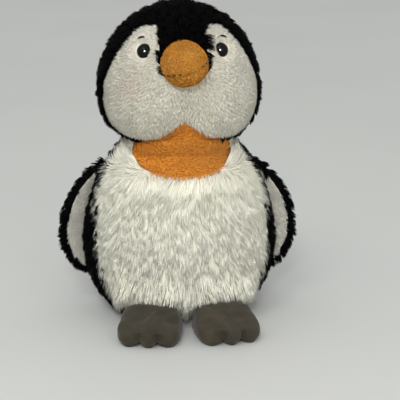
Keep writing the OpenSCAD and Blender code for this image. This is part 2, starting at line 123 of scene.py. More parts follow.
TOE_NOTCH = 0.2
TOE_ARCH = 2.6 * MM
FOOT_SQUARE = (3.4, 4.5)  # power of the outline in front and behind, where 2 is an oval
FOOT_SIDE_ROUND = 0.42
FOOT_TOP_ROUND = 0.3
FOOT_FLARE = 0.09  # how much narrower the top is than the sole
CLOTH_T = 1.2 * MM
SIDES = (("left", False), ("right", True))  # which side, and whether it is mirrored
PIECE_FACES = 170000  # the most faces in one piece of pile
SKIN_INSET = 0.5 * MM  # the cloth lies this far inside the CAD surface, and the pile stands on it


# ---- Small helpers ----


def unit(v):
    return v / np.maximum(np.linalg.norm(v, axis=-1, keepdims=True), 1e-12)


def along_skin(v, normal):
    """The part of each vector that lies in the skin, at length 1."""
    return unit(v - (v * normal).sum(-1, keepdims=True) * normal)


def mix(a, b, t):
    return a + (b - a) * t


def ease(t):
    u = np.clip(t, 0, 1)
    return u * u * (3 - 2 * u)


def sind(a):
    return np.sin(np.radians(a))


def cosd(a):
    return np.cos(np.radians(a))


def off_front(around):
    """Degrees from the front to either side, where around runs on from the front."""
    return np.abs((around + 180) % 360 - 180)


def stack(x, y, z):
    return np.stack(np.broadcast_arrays(x, y, z), -1).astype(float)


def ring(r, around, z):
    return stack(r * sind(around), -r * cosd(around), z)


def sided(p, mirrored):
    """Points of the toy's left, or their mirror image on its right."""
    return p * np.array([-1, 1, 1]) if mirrored else p


def wobble(p, size, seed):
    """Smooth noise of three numbers about 0, from plane waves, for points in metres."""
    waves = 7
    rng = np.random.default_rng(seed)
    out = np.zeros(p.shape)
    for _ in range(waves):
        way = unit(rng.normal(size=3)) * 2 * math.pi / (size * rng.uniform(0.7, 1.6))
        phase = rng.uniform(0, 2 * math.pi, 3)
        out += np.sin((p @ way)[..., None] + phase)
    return out / math.sqrt(waves)


def link(ob):
    bpy.context.scene.collection.objects.link(ob)
    return ob


# ---- Surfaces: the same shapes as the CAD panels ----


def body_swell(z):
    lift = (z - BELLY_Z) / np.where(z < BELLY_Z, BODY_DROP, BODY_RISE)
    return np.sqrt(1 - lift * lift) * (1 - BODY_TAPER * lift)


def body_inset(z, around):
    """The cloth's place against the CAD surface: swelled by the stuffing, but not behind the wings."""
    level = np.sin(math.pi * np.clip(z / NECK_Z, 0.001, 0.999)) ** 0.7
    side = off_front(around)
    return SKIN_INSET - BODY_FULL * level * ease((FULL_ROUND_TO - side) / FULL_FADE)


def body_point(z, around, inset=None):
    inset = body_inset(z, around) if inset is None else inset
    depth = np.where(cosd(around) > 0, BELLY_DEPTH, BACK_DEPTH)
    swell = body_swell(z)
    x = (BODY_W / 2 * swell - inset) * sind(around)
    y = -(depth * swell - inset) * cosd(around)
    return stack(x, y, z)


def belly_edge(z):
    """Degrees from the front to the seam between belly and back."""
    low, high, power = BELLY_EDGE
    return low + (high - low) * np.maximum(z / NECK_Z, 0) ** power


def throat_low(around):
    """The level of the throat patch's lower seam."""
    share = np.minimum(np.abs(around) / (THROAT_EDGE + THROAT_SPREAD), 1)
    return NECK_Z - THROAT_DROP * (1 - share**2)


def belly_surface(i, j):
    share = 2 * j - 1
    z = i * throat_low(share * belly_edge(NECK_Z))
    return body_point(z, share * belly_edge(z))


def throat_surface(i, j):
    around = (2 * j - 1) * THROAT_EDGE
    low = throat_low(around * belly_edge(NECK_Z) / belly_edge(NECK_Z - THROAT_DROP))
    return body_point(mix(low, NECK_Z, i), around)


def back_surface(i, j):
    z = mix(0, NECK_Z, i)
    return body_point(z, mix(belly_edge(z), 360 - belly_edge(z), j))


def head_puff(side, up):
    """How far the cheeks stand out, and the hollow between them stands back."""
    round_off = (side - CHEEK_PUFF_AT[0]) / CHEEK_PUFF_SPREAD
    up_off = (up - CHEEK_PUFF_AT[1]) / CHEEK_PUFF_SPREAD
    cheeks = np.exp(-(round_off**2 + up_off**2))
    hollow = np.exp(-((side / 9) ** 2)) * ease((14 - up) / 40)
    return CHEEK_PUFF * cheeks - FACE_HOLLOW * hollow


def head_swell(up):
    return cosd(up) ** np.where(up > 0, CROWN_ROUND, CHEEK_ROUND) * (1 - HEAD_TAPER * sind(up))


def head_point(up, around, inset=SKIN_INSET):
    side = off_front(around)
    lift = sind(up)
    swell = head_swell(up)
    rise = np.where(up > 0, HEAD_RISE, HEAD_DROP)
    depth = np.where(cosd(around) > 0, FACE_DEPTH, NAPE_DEPTH)
    out = head_puff(side, up) - inset
    x = (HEAD_W / 2 * swell + out) * sind(around)
    y = -(depth * swell + out) * cosd(around)
    return stack(x, y, HEAD_Z + (rise + out) * lift)


def cheek_low(side):
    """Degrees up to the cheek's lower edge, which rises at the chin and towards the side seam."""
    chin = 14 * np.exp(-((side / 15) ** 2))
    jaw = 6 * ease((side - 45) / 30)
    return CHEEK_FOOT + chin + jaw


def cheek_high(side):
    """Degrees up to the cheek's upper edge, which rises over the eye and falls at the temple."""
    over_eye = 42 * ease((side - 16) / 11)
    temple = 52 * ease((side - 48) / 27)
    return CROWN_PEAK + over_eye - temple


def crown_low(around):
    side = off_front(around)
    behind = mix(cheek_high(SIDE_SEAM), NAPE_TOP, ease((side - SIDE_SEAM) / 60))
    return np.where(side < SIDE_SEAM, cheek_high(np.minimum(side, SIDE_SEAM)), behind)


def head_low(around):
    side = off_front(around)
    behind = mix(cheek_low(SIDE_SEAM), UNDERSIDE, ease((side - SIDE_SEAM) / 26))
    return np.where(side < SIDE_SEAM, cheek_low(side), behind)


def cheek_surface(i, j):
    around = mix(0, SIDE_SEAM, j)
    return head_point(mix(cheek_low(around), cheek_high(around), i), around)


def crown_surface(i, j):
    around = 360 * j
    return head_point(mix(crown_low(around), 89.5, i), around)


def head_back_surface(i, j):
    around = mix(SIDE_SEAM, 360 - SIDE_SEAM, j)
    return head_point(mix(head_low(around), crown_low(around), i), around)


def underside_point(out, around):
    """The head's underside, from the neck's opening out to the edge of the cheeks and the nape."""
    edge = head_point(head_low(around), around)
    opening = ring(NECK_OPENING_R, around, NECK_OPENING_Z)
    fullness = 3 * MM * np.sin(math.pi * out) * np.maximum(cosd(around), 0)
    point = mix(opening, edge, np.asarray(out)[..., None])
    return point - stack(0, fullness, 0)


def gusset_surface(first, last):
    return lambda i, j: underside_point(i, mix(first, last, j))


def skirt_surface(first, last):
    """The cloth of the neck, from inside the body's top rim up and in to the head."""

    def shape(i, j):
        around = mix(first, last, j)
        rim = body_point(NECK_Z - 2.5 * MM + 0 * around, around, 0.8 * MM)
        opening = ring(NECK_OPENING_R + 2 * MM, around, NECK_OPENING_Z)
        chin = np.maximum(cosd(around), 0)[..., None] ** 0.6
        top = mix(opening, underside_point(0.5 + 0 * around, around) - [0, 0, 1 * MM], chin)
        swell = 1.6 * MM * np.sin(math.pi * np.asarray(i))[..., None]
        return mix(rim, top, np.asarray(i)[..., None]) + unit(rim * np.array([1, 1, 0])) * swell

    return shape


def sleeve_surface(first, last):
    """A second layer inside the neck's cloth, which stays shut behind it as the head nods."""

    def shape(i, j):
        around = mix(first, last, j)
        r = mix(NECK_OPENING_R - 1.5 * MM, NECK_OPENING_R + 1.5 * MM, i)
        return ring(r, around, mix(NECK_Z + 0.5 * MM, NECK_OPENING_Z + 1.5 * MM, i))

    return shape


def face_y(x, z):
    """Where the face's skin lies in depth."""
    up = np.degrees(np.arcsin((z - HEAD_Z) / HEAD_RISE))
    side = np.degrees(np.arcsin(np.abs(x) / (HEAD_W / 2 * head_swell(up))))
    return -(FACE_DEPTH * head_swell(up) + head_puff(side, up)) * cosd(side)


def eye_middle():
    """The middle of the left eye's round dome, which sits in the cloth of the cheek."""
    up = math.degrees(math.asin((EYE[1] - HEAD_Z) / HEAD_RISE))
    side = math.degrees(math.asin(EYE[0] / (HEAD_W / 2 * head_swell(up))))
    near = head_point(up, side, 0.0)
    aim = math.atan2(near[0], -near[1])
    tilt = math.radians(90 - 0.7 * up)
    out = np.array([math.sin(aim) * math.sin(tilt), -math.cos(aim) * math.sin(tilt), math.cos(tilt)])
    return near - out * EYE_SINK


def eye_surface(i, j):
    polar = mix(0.1, 179.9, i)
    around = 360 * j
    ball = stack(sind(polar) * cosd(around), sind(polar) * sind(around), cosd(polar))
    return eye_middle() + EYE_R * ball


def lip_surface(lip):
    """One lip of the beak, from the face to its tip. around starts at the side."""
    level, rise, fall, half, length = lip

    def shape(i, j):
        along = np.sin(np.radians(90 * i)) * 0.999
        around = 360 * j
        swell = np.sqrt(1 - along**2)
        x = half * swell * cosd(around)
        up = level + np.where(sind(around) > 0, rise, fall) * swell * sind(around)
        slanted = x * cosd(CREASE_SLANT) - up * sind(CREASE_SLANT)
        z = CREASE_Z + x * sind(CREASE_SLANT) + up * cosd(CREASE_SLANT)
        tip = face_y(0.0, CREASE_Z) - length
        y = mix(face_y(slanted, z) - 0.3 * MM, tip, along)
        return stack(slanted + TIP_ASIDE * along, y, z)

    return shape


def wing_point(across, around, wide=1.0, thick=1.0):
    """A point of the wing's skin, or with wide and thick under 1 a point within the wing."""
    reach = wide * np.abs(sind(across)) ** 0.8
    share = 0.5 + (0.5 - SKIN_INSET / WING_LENGTH) * cosd(around) * reach
    middle = WING_W / 2 * (1 - WING_SHOULDER * np.maximum(share, 0) ** 3)
    out = middle + (WING_W / 2 - SKIN_INSET) * sind(around) * reach
    deep = (WING_T * np.where(across < 90, 1 - WING_BELLY, WING_BELLY) - SKIN_INSET) * cosd(across)
    root = body_point(WING_TOP - WING_LENGTH * (1 - share), mix(120, 112, share**2), -WING_GAP)
    plane = np.array([cosd(WING_TURN), -sind(WING_TURN), 0])
    behind = np.array([sind(WING_TURN), cosd(WING_TURN), 0])
    return root + np.asarray(out)[..., None] * plane + thick * np.asarray(deep)[..., None] * behind


def wing_wrap(around):
    return WING_WRAP[0] + WING_WRAP[1] * sind(around)


def wing_back_surface(i, j):
    return wing_point(mix(wing_wrap(360 * j), 0.001, i), 360 * j)


def wing_front_surface(i, j):
    return wing_point(mix(wing_wrap(360 * j), 179.999, i), 360 * j)


def wing_core(i, j):
    """Where the wing's own middle is for each place of its back or front."""
    return wing_point(90 + 0 * i, 360 * j, 0.8, 0.0)


def toe_gap(around):
    """1 in the two gaps between a foot's toes and 0 away from them."""
    turn = off_front(around)
    return np.where(turn < TOE_PITCH, 1 - np.abs(cosd(180 * turn / TOE_PITCH)), 0)


def foot_outline(around):
    """How far out the foot reaches at its sole: an oval squared off at its corners."""
    turn = off_front(around)
    square = np.where(turn < 90, *FOOT_SQUARE)
    side = np.abs(sind(turn)) / (FOOT_W / 2)
    front = np.abs(cosd(turn)) / (FOOT_LENGTH / 2)
    return (side**square + front**square) ** (-1 / square)


def foot_point(across, around):
    """The foot's skin: across runs from the top, 0, over the rim, 90, to the middle of the sole, 180."""
    inset = SKIN_INSET * 0.4
    rise = sind(np.minimum(across, 90))
    outline = foot_outline(around) * (1 - TOE_NOTCH * toe_gap(around) * rise**6) - inset
    oval = np.hypot(sind(around) / (FOOT_W / 2), cosd(around) / (FOOT_LENGTH / 2)) ** -1
    reach = mix(oval, outline, rise**0.4)
    upper = reach * rise**FOOT_SIDE_ROUND
    under = (across - 90) / 90
    out = np.where(across <= 90, upper, reach - FOOT_TUCK * under)
    forward = out * cosd(around)
    top = mix(HEEL_H, TOE_H, ease(0.5 + 1.1 * forward / FOOT_LENGTH))
    height = np.abs(cosd(np.minimum(across, 90))) ** FOOT_TOP_ROUND
    dome = FOOT_RIM_Z + (top - FOOT_RIM_Z - inset) * height
    arch = TOE_ARCH * toe_gap(around)
    sole = FOOT_RIM_Z + (np.minimum(arch, FOOT_RIM_Z) - FOOT_RIM_Z) * under
    z = np.where(across <= 90, dome, sole)
    flare = 1 - FOOT_FLARE * ease((dome - 6 * MM) / (HEEL_H - 6 * MM))
    x = out * sind(around) * np.where(across <= 90, flare, 1)
    y = -forward - FOOT_LENGTH / 2 - HEEL_GAP
    turned_x = x * cosd(FOOT_TURN) - y * sind(FOOT_TURN)
    turned_y = x * sind(FOOT_TURN) + y * cosd(FOOT_TURN)
    return stack(turned_x, turned_y, z) + np.array([FOOT_SEAM[0], FOOT_SEAM[1], 0])


def foot_surface(i, j):
    across = mix(0.0002, 179.9, i)
    return foot_point(across, 360 * j)


class Grid:
    """A surface given by a function of two numbers from 0 to 1, and the point it curves round."""

    def __init__(self, shape, middle, mirrored=False):
        self.shape = shape
        self.middle = middle
        self.mirrored = mirrored

    def at(self, i, j):
        return sided(self.shape(np.asarray(i, float), np.asarray(j, float)), self.mirrored)

    def scatter(self, per_mm2, rng):
        """Random points spread evenly over the surface, and the outward normals there."""
        fineness = 48
        edge = np.linspace(0, 1, fineness + 1)
        i, j = np.meshgrid(edge, edge, indexing="ij")
        p = self.at(i, j)
        a = np.cross(p[1:, :-1] - p[:-1, :-1], p[:-1, 1:] - p[:-1, :-1])
        area = np.linalg.norm(a, axis=-1).ravel()
        count = int(area.sum() / MM**2 * per_mm2)
        cell = rng.choice(len(area), count, p=area / area.sum())
        i = (cell // fineness + rng.random(count)) / fineness
        j = (cell % fineness + rng.random(count)) / fineness
        return self.frame(i, j)

    def frame(self, i, j):
        """Points of the surface and the outward normals there."""
        step = 1e-3
        i0 = np.clip(i, step, 1 - step)
        j0 = np.clip(j, step, 1 - step)
        p = self.at(i, j)
        over_i = self.at(i0 + step, j0) - self.at(i0 - step, j0)
        over_j = self.at(i0, j0 + step) - self.at(i0, j0 - step)
        n = unit(np.cross(over_j, over_i))
        if callable(self.middle):
            middle = sided(self.middle(i, j), self.mirrored)
        else:
            middle = np.where(np.isnan(self.middle), p, self.middle)
        flip = ((p - middle) * n).sum(-1) < 0
        n[flip] *= -1
        return p, n

    def mesh(self, name, rows, cols, closed=False):
        """A sheet of quads over the whole surface. A closed one joins its last column to its first."""
        edge_i = np.linspace(0, 1, rows + 1)
        edge_j = np.linspace(0, 1, cols + 1)[: cols if closed else cols + 1]
        i, j = np.meshgrid(edge_i, edge_j, indexing="ij")
        p = self.at(i, j)
        wide = p.shape[1]
        faces = []
        for row in range(rows):
            low = row * wide
            high = low + wide
            for col in range(cols):
                beside = (col + 1) % wide
                faces.append((low + col, low + beside, high + beside, high + col))
        me = bpy.data.meshes.new(name)
        me.from_pydata(p.reshape(-1, 3).tolist(), [], faces)
        halfway = np.array([0.5])
        outward = self.frame(halfway, halfway)[1][0]
        middle_face = me.polygons[(rows // 2) * cols + cols // 2]
        if np.dot(outward, middle_face.normal) < 0:
            me.flip_normals()
        me.shade_smooth()
        return link(bpy.data.objects.new(name, me))


# ---- Materials ----


class Nodes:
    """A node tree with a Principled shader, and short ways to add to it."""

    def __init__(self, name):
        self.mat = bpy.data.materials.new(name)
        self.mat.use_nodes = True
        self.tree = self.mat.node_tree
        self.shader = next(n for n in self.tree.nodes if n.type == "BSDF_PRINCIPLED")
        self.place = self.tree.nodes.new("ShaderNodeTexCoord").outputs["Object"]

    def add(self, kind, **values):
        node = self.tree.nodes.new("ShaderNode" + kind)
        for key, value in values.items():
            if key in node.inputs:
                self.feed(value, node.inputs[key])
            else:
                setattr(node, key, value)
        return node

    def feed(self, value, socket):
        if isinstance(value, bpy.types.NodeSocket):
            self.tree.links.new(value, socket)
        else:
            socket.default_value = value

    def maths(self, operation, a, b):
        node = self.tree.nodes.new("ShaderNodeMath")
        node.operation = operation
        self.feed(a, node.inputs[0])
        self.feed(b, node.inputs[1])
        return node.outputs[0]

    def blend(self, share, a, b, mode="MIX"):
        node = self.tree.nodes.new("ShaderNodeMix")
        node.data_type = "RGBA"
        node.blend_type = mode
        self.feed(share, node.inputs[0])
        self.feed(a, node.inputs[6])
        self.feed(b, node.inputs[7])
        return node.outputs[2]

    def span(self, value, low, high, to_low=0.0, to_high=1.0):
        """Maps low to high onto to_low to to_high, and stays within them."""
        node = self.tree.nodes.new("ShaderNodeMapRange")
        self.feed(value, node.inputs[0])
        for k, v in enumerate((low, high, to_low, to_high)):
            node.inputs[k + 1].default_value = v
        return node.outputs[0]

    def noise(self, scale, detail=2.0, roughness=0.5):
        node = self.add("TexNoise", Vector=self.place, Scale=scale, Detail=detail, Roughness=roughness)
        return node.outputs["Fac"]

    def attribute(self, name):
        return self.add("Attribute", attribute_name=name).outputs["Fac"]

    def spot(self, centre, radius):
        """1 at a place on the object, falling to 0 at a distance from it."""
        node = self.tree.nodes.new("ShaderNodeVectorMath")
        node.operation = "DISTANCE"
        self.feed(self.place, node.inputs[0])
        node.inputs[1].default_value = centre
        return self.span(node.outputs["Value"], 0.0, radius, 1.0, 0.0)

    def bump(self, height, distance, strength):
        node = self.add("Bump", Height=height, Distance=distance, Strength=strength)
        self.feed(node.outputs[0], self.shader.inputs["Normal"])

    def set(self, **values):
        for key, value in values.items():
            self.feed(value, self.shader.inputs[key.replace("_", " ")])


def rgba(r, g, b):
    return (r, g, b, 1.0)


def plush_material(
    name, deep, tip, patch, patch_share, patch_size=22 * MM, sheen=0.2, specular=0.2, marks=()
):
    """Pile: darker at its roots, as painted shade between the strands and partly as dirt there, lighter at
    its tips, each strand a little different, in soft patches.
    """
    n = Nodes(name)
    # deep, the root colour, is painted shade between the strands and partly dirt at the roots.
    colour = n.blend(n.span(n.attribute("tip"), 0.0, 0.75), deep, tip)
    patches = n.span(n.noise(1 / patch_size, 3.0), 0.42, 0.66, 0.0, patch_share)
    colour = n.blend(patches, colour, patch)
    for centre, radius, tint, share in marks:
        mark = n.maths("MULTIPLY", n.spot(centre, radius), share)
        colour = n.blend(mark, colour, tint)
    tone = n.span(n.attribute("tone"), 0.0, 1.0, 0.8, 1.15)
    grey = n.add("CombineColor", Red=tone, Green=tone, Blue=tone).outputs[0]
    n.set(Base_Color=n.blend(1.0, colour, grey, "MULTIPLY"))
    n.set(Roughness=n.span(n.attribute("tone"), 0.0, 1.0, 0.72, 0.95))
    n.set(Sheen_Weight=sheen, Sheen_Roughness=0.45, Specular_IOR_Level=specular)
    return n.mat


def cloth_material(name, colour, other):
    """Knitted backing cloth: fine ribs with colour that drifts over the piece."""
    n = Nodes(name)
    drift = n.span(n.noise(60.0, 3.0), 0.35, 0.7)
    n.set(Base_Color=n.blend(drift, colour, other), Roughness=n.span(n.noise(400.0), 0.3, 0.7, 0.8, 0.95))
    n.set(Specular_IOR_Level=0.1)
    ribs = n.add("TexWave", Vector=n.place, Scale=900.0, Distortion=1.5, Detail=1.0)
    n.bump(ribs.outputs["Fac"], 0.25 * MM, 0.5)
    return n.mat


def suede_material(name):
    """Brushed faux suede: fine nap, cloudy brown-grey, lighter where it stands proud, as rubbed nap and as
    a painted highlight.
    """
    n = Nodes(name)
    clouds = n.span(n.noise(95.0, 4.0, 0.6), 0.35, 0.68)
    colour = n.blend(clouds, rgba(0.021, 0.017, 0.0095), rgba(0.038, 0.032, 0.02))
    # Lighter where the skin stands proud: partly rubbed nap, partly a painted highlight.
    rubbed_and_highlit = n.span(n.add("NewGeometry").outputs["Pointiness"], 0.5, 0.58, 0.0, 0.55)
    colour = n.blend(rubbed_and_highlit, colour, rgba(0.06, 0.05, 0.034))
    rust = n.span(n.noise(42.0, 2.0), 0.58, 0.75, 0.0, 0.35)
    colour = n.blend(rust, colour, rgba(0.07, 0.045, 0.028))
    nap = n.noise(2600.0, 2.0)
    creases = n.noise(260.0, 3.0, 0.6)
    height = n.maths("ADD", n.maths("MULTIPLY", nap, 0.25), creases)
    n.bump(height, 0.35 * MM, 0.55)
    n.set(Base_Color=colour, Roughness=n.span(clouds, 0.0, 1.0, 0.72, 0.9))
    n.set(Sheen_Weight=0.12, Sheen_Roughness=0.5, Specular_IOR_Level=0.2)
    return n.mat


def eye_material(name):
    """Moulded black plastic with a hard gloss and faint handling marks."""
    n = Nodes(name)
    smears = n.span(n.noise(500.0, 3.0), 0.45, 0.75, 0.03, 0.08)
    drift = n.span(n.noise(200.0), 0.4, 0.7)
    tint = n.blend(drift, rgba(0.0004, 0.0004, 0.0006), rgba(0.001, 0.0009, 0.0009))
    n.set(Base_Color=tint, Roughness=smears, Specular_IOR_Level=0.12)
    return n.mat


def plastic_material(name, colour, other):
    n = Nodes(name)
    drift = n.span(n.noise(300.0, 2.0), 0.4, 0.7)
    n.set(Base_Color=n.blend(drift, colour, other), Roughness=n.span(n.noise(900.0), 0.3, 0.7, 0.35, 0.5))
    n.bump(n.noise(1500.0), 0.05 * MM, 0.3)
    return n.mat


def filling_material(name):
    """Loose polyester fibre."""
    n = Nodes(name)
    fibres = n.noise(700.0, 6.0, 0.7)
    tint = n.blend(n.span(fibres, 0.35, 0.7), rgba(0.7, 0.71, 0.73), rgba(0.9, 0.9, 0.92))
    n.set(Base_Color=tint, Roughness=n.span(fibres, 0.3, 0.7, 0.85, 0.98))
    n.bump(fibres, 1.5 * MM, 0.8)
    return n.mat


def thread_material(name, colour, other):
    """Twisted sewing thread."""
    n = Nodes(name)
    twist = n.add("TexWave", Vector=n.place, Scale=1600.0, Distortion=0.5)
    twist.bands_direction = "DIAGONAL"
    tint = n.blend(twist.outputs["Fac"], colour, other)
    n.set(Base_Color=tint, Roughness=n.span(n.noise(800.0), 0.3, 0.7, 0.55, 0.75))
    n.set(Specular_IOR_Level=0.2)
    n.bump(twist.outputs["Fac"], 0.1 * MM, 0.6)
    return n.mat


def satin_material(name):
    """Woven satin ribbon, blank."""
    n = Nodes(name)
    weave = n.add("TexWave", Vector=n.place, Scale=2200.0, Distortion=0.3)
    tint = n.blend(n.span(n.noise(120.0), 0.35, 0.7), rgba(0.8, 0.8, 0.78), rgba(0.88, 0.88, 0.86))
    n.set(Base_Color=tint, Roughness=n.span(weave.outputs["Fac"], 0.0, 1.0, 0.3, 0.45))
    n.bump(weave.outputs["Fac"], 0.06 * MM, 0.5)
    return n.mat


def floor_material(name):
    n = Nodes(name)
    tint = n.blend(n.span(n.noise(3.0, 3.0), 0.3, 0.7), rgba(0.46, 0.475, 0.46), rgba(0.49, 0.5, 0.485))
    n.set(Base_Color=tint, Roughness=0.6)
    return n.mat


# ---- Pile: thousands of tapered strands rooted in a skin ----


def strand_mesh(name, rings, tip, tone, material):
    """One mesh of closed three-sided spikes. rings is a list of (centre, side, up, share of length)."""
    count = len(tip)
    sides = 3
    levels = len(rings)
    points = []
    for centre, side, up, _ in rings:
        for k in range(sides):
            turn = 2 * math.pi * (k + 0.25) / sides
            points.append(centre + side * math.cos(turn) + up * math.sin(turn))
    points.append(tip)
    verts = np.stack(points, 1).reshape(-1, 3)
    verts[:, 2] = np.maximum(verts[:, 2], 0.3 * MM)  # pile bends where it meets the floor
    per = sides * levels + 1
    quads = []
    for level in range(levels - 1):
        for k in range(sides):
            a = level * sides + k
            b = level * sides + (k + 1) % sides
            quads.append((a, b, b + sides, a + sides))
    last = (levels - 1) * sides
    tris = [(last + k, last + (k + 1) % sides, per - 1) for k in range(sides)]
    tris.append((2, 1, 0))
    pattern = np.array([v for face in quads + tris for v in face])
    sizes = np.tile(np.array([4] * len(quads) + [3] * len(tris)), count)
    loops = (np.arange(count)[:, None] * per + pattern[None]).ravel()
    starts = np.concatenate([[0], np.cumsum(sizes)[:-1]])
    me = bpy.data.meshes.new(name)
    me.vertices.add(len(verts))
    me.vertices.foreach_set("co", verts.ravel())
    me.loops.add(len(loops))
    me.loops.foreach_set("vertex_index", loops.astype(np.int32))
    me.polygons.add(len(sizes))
    me.polygons.foreach_set("loop_start", starts.astype(np.int32))
    me.update(calc_edges=True)
    shares = np.array([share for _, _, _, share in rings for _ in range(sides)] + [1.0])
    for label, values in (("tip", np.tile(shares, count)), ("tone", np.repeat(tone, per))):
        layer = me.attributes.new(label, "FLOAT", "POINT")
        layer.data.foreach_set("value", values.astype(np.float32))
    me.shade_smooth()
    me.materials.append(material)
    return link(bpy.data.objects.new(name, me))


class Pile:
    """How the pile of one plush cloth grows."""

    def __init__(
        self, length, width, density, lift, clump, gather, stray, wander, bend,
        levels=(0.0, 0.5), lock_length=1.0,
    ):
        self.length = length  # of a full strand
        self.width = width  # across a strand's root
        self.density = density  # strands on a square millimetre
        self.lift = lift  # degrees above the skin
        self.clump = clump  # distance between the middles of two locks
        self.gather = gather  # 0 for loose strands to 1 for strands that meet at their lock's tip
        self.stray = stray  # how far strands turn aside
        self.wander = wander  # how far whole locks turn aside
        self.bend = bend  # how much strands bend to one side
        self.levels = levels  # where a strand has its rings, as shares of its length
        self.lock_length = lock_length  # how much longer than wide the foot of a lock is


def strand_line(root, normal, flow, length, lift, bend, t):
    """Where strands are at share t of their length: they rise, then lie over."""
    rise = length * np.sin(lift) * (t - 0.4 * t * t)
    run = length * np.cos(lift) * (t + 0.15 * t * t)
    side = np.cross(normal, flow)
    return root + normal * rise[:, None] + flow * run[:, None] + side * (bend * length * t * t)[:, None]


def grow(name, surface, pile, flow, material, seed, size=None, keep=None, rise=None):
    """Grows pile on a surface and returns its pieces. At each root, flow gives the lie of a strand, size a
    share of its length, rise a share of its lift, and keep whether it is there."""
    rng = np.random.default_rng(seed)
    root, normal = surface.scatter(pile.density, rng)
    if keep:
        chosen = keep(root)
        root, normal = root[chosen], normal[chosen]
    count = len(root)
    wander = 0.28 * wobble(root, 26 * MM, seed) + 0.16 * wobble(root, 9 * MM, seed + 1)
    lie = along_skin(unit(flow(root)) + pile.wander * wander, normal)
    length = pile.length * rng.uniform(0.72, 1.12, count)
    if size:
        length = length * size(root)
    lift = np.radians(pile.lift) * rng.uniform(0.7, 1.3, count)
    if rise:
        lift = lift * rise(root)
    bend = rng.normal(0, pile.bend, count)
    side = np.cross(normal, lie)
    own_lie = along_skin(lie + side * rng.normal(0, pile.stray, count)[:, None], normal)

    # Locks: each strand leans towards the strand that leads its lock
    area = count / pile.density
    locks = max(int(area / (pile.clump / MM) ** 2 / pile.lock_length), 1)
    leaders = rng.choice(count, locks, replace=False)
    tree = kdtree.KDTree(locks)
    reach = root * [1, 1, 1 / pile.lock_length]
    for k, p in enumerate(reach[leaders]):
        tree.insert(p, k)
    tree.balance()
    lead = leaders[[tree.find(p)[1] for p in reach]]
    gather = pile.gather * rng.uniform(0.6, 1.0, count)

    def place(t):
        own = strand_line(root, normal, own_lie, length, lift, bend, t)
        # The strand keeps its own root, and nears the leader of its lock towards its tip
        share = (gather * t**1.3)[:, None]
        return own * (1 - share) + own[lead] * share

    rings = []
    for level in pile.levels:
        centre = place(level) - normal * (0.4 * MM if level == 0 else 0)
        half = pile.width / 2 * (1 - level) ** 0.6 * rng.uniform(0.85, 1.15, count)
        ahead = unit(place(level + 0.08) - place(max(level - 0.08, 0)))
        across = unit(np.cross(ahead, normal))
        up = np.cross(across, ahead)
        rings.append((centre, across * half[:, None], up * (half * 0.8)[:, None], level))
    tone = np.clip(0.5 + 0.22 * rng.normal(size=count) + 0.14 * wobble(root, 12 * MM, seed + 2)[:, 0], 0, 1)
    tip = place(1.0)
    parts = math.ceil(count * (3 * len(pile.levels) + 1) / PIECE_FACES)
    pieces = []
    for k in range(parts):
        some = slice(k, None, parts)
        own = [(centre[some], across[some], up[some], level) for centre, across, up, level in rings]
        label = name if parts == 1 else "%s_%d" % (name, k + 1)
        pieces.append(strand_mesh(label, own, tip[some], tone[some], material))
    return pieces


def cloth_sheet(name, surface, rows, cols, material, closed):
    """A smooth sheet of backing cloth with a real thickness, grown inward."""
    ob = surface.mesh(name, rows, cols, closed)
    solid = ob.modifiers.new("thickness", "SOLIDIFY")
    solid.thickness = CLOTH_T
    solid.offset = -1
    ob.data.materials.append(material)
    return ob


# ---- Camera, floor and light ----


def add_camera():
    """The view of the photograph: from a little above the toy, and a little to its right."""
    aim = Vector((0, 0, 100 * MM))
    away = 850 * MM
    swing = math.radians(5)
    dip = math.radians(14)
    look = Vector((math.sin(swing) * math.cos(dip), math.cos(swing) * math.cos(dip), -math.sin(dip)))
    roll = math.radians(-0.2)
    data = bpy.data.cameras.new("camera")
    data.sensor_width = 36
    data.lens = data.sensor_width * 3.16
    data.shift_x = 0.0525
    data.shift_y = -0.0925
    data.clip_end = 20
    camera = link(bpy.data.objects.new("camera", data))
    turn = look.to_track_quat("-Z", "Y").to_matrix().to_4x4()
    place = Matrix.Translation(aim - look * away)
    camera.matrix_world = place @ turn @ Matrix.Rotation(roll, 4, "Z")
    bpy.context.scene.camera = camera


def add_floor():
    """A pale floor, large enough to fill the picture in every view."""
    far = 3.0
    me = bpy.data.meshes.new("floor")
    me.from_pydata([(-far, -far, 0), (far, -far, 0), (far, far, 0), (-far, far, 0)], [], [(0, 1, 2, 3)])
    me.materials.append(floor_material("pale_floor"))
    link(bpy.data.objects.new("floor", me))


def add_light(name, place, aim, size, watts, colour):
    """A square lamp, size metres wide, that faces a point."""
    data = bpy.data.lights.new(name, "AREA")
    data.size = size
    data.energy = watts
    data.color = colour
    ob = link(bpy.data.objects.new(name, data))
    ob.location = place
    ob.rotation_euler = (Vector(aim) - Vector(place)).to_track_quat("-Z", "Y").to_euler()
    return ob


def add_room():
    """The floor, an even grey-white light from all sides, and three soft lamps in front."""
    add_floor()
    world = bpy.data.worlds.new("studio")
    world.use_nodes = True
    background = world.node_tree.nodes["Background"]
    background.inputs["Color"].default_value = rgba(0.9, 0.9, 0.89)
    background.inputs["Strength"].default_value = 0.93
    bpy.context.scene.world = world
    middle = (0, 0, 100 * MM)
    add_light("key", (-0.5, -0.9, 1.5), middle, 0.6, 7, (1.0, 0.98, 0.95))
    add_light("catch", (-0.2, -1.3, 0.85), middle, 0.26, 8.5, (1.0, 1.0, 1.0))
    add_light("fill", (0.5, -1.5, 0.4), middle, 1.2, 6, (1.0, 0.99, 0.98))


def set_colour_view():
    view = bpy.context.scene.view_settings
    view.view_transform = "Standard"
    view.look = "None"


# ---- The toy's materials ----


